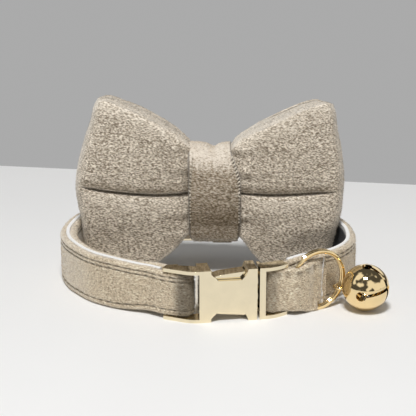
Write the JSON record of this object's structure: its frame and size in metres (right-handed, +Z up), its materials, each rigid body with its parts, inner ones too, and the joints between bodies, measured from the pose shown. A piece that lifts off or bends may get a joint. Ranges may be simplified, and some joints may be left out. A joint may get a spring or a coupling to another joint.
{
  "type": "pet bow tie collar",
  "caption": "Velvet pet collar with a metal side-release buckle, a padded bow tie and a jingle bell on a split ring.",
  "frame": {"origin": "middle of the collar's footprint on the surface that it stands on", "axes": "+X to the bell side along the buckle, +Y from the buckle back to the bow, +Z up"},
  "size_m": [0.1126, 0.0684, 0.0631],
  "materials": {
    "velvet": "short-pile velvet, beige",
    "webbing": "woven webbing, dark grey",
    "gold_metal": "polished pale gold plating",
    "steel": "plain steel ball",
    "elastic": "woven elastic, beige"
  },
  "bodies": {
    "root": {"strap": "velvet", "strap_lining": "webbing", "buckle_socket": "gold_metal", "buckle_plug": "gold_metal", "slider": "gold_metal", "split_ring": "gold_metal", "bell_shell": "gold_metal", "bell_pellet": "steel", "bow_wing_left": "velvet", "bow_wing_right": "velvet", "bow_knot": "velvet", "bow_elastic": "elastic"}
  },
  "joints": []
}
